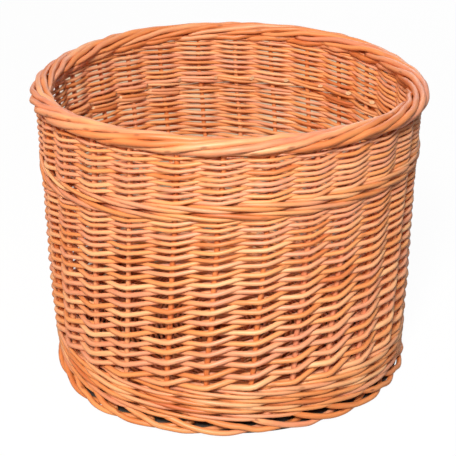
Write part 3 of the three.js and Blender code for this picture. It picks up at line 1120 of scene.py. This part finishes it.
def makeCamera():
    scene = bpy.context.scene
    camera = bpy.data.cameras.new("camera")
    camera.sensor_width = studio["sensorWidth"]
    camera.lens = studio["lens"]
    camera.shift_x = studio["shiftX"]
    camera.shift_y = studio["shiftY"]
    camera.clip_end = studio["seesUntil"]
    eye = bpy.data.objects.new("camera", camera)
    eye.location = studio["cameraPlace"]
    eye.rotation_euler = (np.radians(90 - studio["cameraPitch"]), 0, 0)
    scene.collection.objects.link(eye)
    scene.camera = eye
    scene.view_settings.view_transform = "Standard"


def makeSky():
    # white to the camera, to mirrors and to glass; otherwise its light falls off from straight above to
    # the horizon, warm from the left and cool from the right
    world = bpy.data.worlds.new("studio")
    bpy.context.scene.world = world
    world.use_nodes = True
    tree = world.node_tree
    background = tree.nodes["Background"]
    path = tree.nodes.new("ShaderNodeLightPath")
    seen = compute(tree, "MAXIMUM", path.outputs["Is Camera Ray"], path.outputs["Is Glossy Ray"])
    seen = compute(tree, "MAXIMUM", seen, path.outputs["Is Transmission Ray"])
    direction = tree.nodes.new("ShaderNodeTexCoord").outputs["Generated"]
    parts = addNode(tree, "ShaderNodeSeparateXYZ", [(0, direction)])
    sky = addNode(
        tree, "ShaderNodeMapRange",
        [("Value", parts.outputs["Z"]), ("To Min", studio["skyLow"]), ("To Max", studio["skyHigh"])],
    ).outputs[0]
    spread = studio["skySpread"]
    sideways = addNode(
        tree, "ShaderNodeMapRange",
        [("Value", parts.outputs["X"]), ("From Min", -spread), ("From Max", spread)],
    ).outputs[0]
    skyColour = mixColours(tree, sideways, studio["skyLeft"], studio["skyRight"])
    tree.links.new(mixColours(tree, seen, skyColour, (1, 1, 1, 1)), background.inputs["Color"])
    unseen = compute(tree, "SUBTRACT", 1.0, seen)
    strength = compute(tree, "ADD", seen, compute(tree, "MULTIPLY", sky, unseen))
    tree.links.new(strength, background.inputs["Strength"])


def floorMaterial():
    # to the camera the floor mostly glows white, or in the colours of its painted shade; inside the foot
    # its colour is a painted dark shade; below it is clear
    material = bpy.data.materials.new("floor")
    material.use_nodes = True
    tree = material.node_tree
    shader = tree.nodes["Principled BSDF"]
    shader.inputs["Roughness"].default_value = 1.0
    shader.inputs["Specular IOR Level"].default_value = 0.0
    place = tree.nodes.new("ShaderNodeTexCoord").outputs["Object"]
    fromFoot = addNode(
        tree, "ShaderNodeVectorMath",
        [(0, place), (1, ground["footMiddle"])],
        operation="DISTANCE",
    ).outputs["Value"]
    # inside the foot's circle the floor's colour is a painted near-black shade, and to the camera it has
    # no glow there
    outsideFoot = compute(tree, "GREATER_THAN", fromFoot, ground["footRadius"])
    floorColourWithPaintedShade = mixColours(tree, outsideFoot, ground["paintedShadeUnderFoot"], ground["colour"])
    tree.links.new(floorColourWithPaintedShade, shader.inputs["Base Color"])
    # the painted shade: how far inside a circle, which moves back and widens from the foot's to the rim's
    depth = addNode(tree, "ShaderNodeSeparateXYZ", [(0, place)]).outputs["Y"]
    behind = addNode(
        tree, "ShaderNodeMapRange",
        [("Value", depth), ("From Max", ground["rimBehind"])],
    ).outputs[0]
    middleY = compute(tree, "MULTIPLY", behind, ground["rimBehind"])
    middle = addNode(tree, "ShaderNodeCombineXYZ", [("Y", middleY)]).outputs[0]
    fromMiddle = addNode(
        tree, "ShaderNodeVectorMath",
        [(0, place), (1, middle)],
        operation="DISTANCE",
    ).outputs["Value"]
    widening = ground["rimRadius"] - ground["footRadius"]
    reach = compute(tree, "MULTIPLY_ADD", behind, widening, ground["footRadius"])
    inside = compute(tree, "SUBTRACT", reach, fromMiddle)
    shade = addNode(
        tree, "ShaderNodeMapRange",
        [("Value", inside), ("From Max", ground["shadeFade"])],
        interpolation_type="SMOOTHSTEP",
    ).outputs[0]
    distant = addNode(
        tree, "ShaderNodeMapRange",
        [("Value", behind), ("From Min", ground["farFrom"]), ("From Max", ground["farFull"])],
    ).outputs[0]
    shadeColour = mixColours(tree, distant, ground["nearShade"], ground["farShade"])
    glowColour = mixColours(tree, shade, (1, 1, 1, 1), shadeColour)
    glow = addNode(
        tree, "ShaderNodeEmission",
        [("Color", glowColour), ("Strength", ground["glowStrength"])],
    )
    share = compute(tree, "MULTIPLY_ADD", shade, 1 - ground["glow"], ground["glow"])
    camera = tree.nodes.new("ShaderNodeLightPath").outputs["Is Camera Ray"]
    seenShare = compute(tree, "MULTIPLY", compute(tree, "MULTIPLY", camera, share), outsideFoot)
    above = addNode(
        tree, "ShaderNodeMixShader",
        [(0, seenShare), (1, shader.outputs[0]), (2, glow.outputs[0])],
    )
    below = tree.nodes.new("ShaderNodeNewGeometry").outputs["Backfacing"]
    clear = tree.nodes.new("ShaderNodeBsdfTransparent")
    surface = addNode(
        tree, "ShaderNodeMixShader",
        [(0, below), (1, above.outputs[0]), (2, clear.outputs[0])],
    )
    tree.links.new(surface.outputs[0], tree.nodes["Material Output"].inputs["Surface"])
    return material


def makeFloor():
    half = ground["half"]
    corners = [(-half, -half, 0), (half, -half, 0), (half, half, 0), (-half, half, 0)]
    mesh = bpy.data.meshes.new("floor")
    mesh.from_pydata(corners, [], [(0, 1, 2, 3)])
    mesh.materials.append(floorMaterial())
    floor = bpy.data.objects.new("floor", mesh)
    bpy.context.scene.collection.objects.link(floor)


makeCamera()
for lampName in ("key", "left", "right", "back"):
    makeLamp(lampName)
makeSky()
makeFloor()
print("studio made")
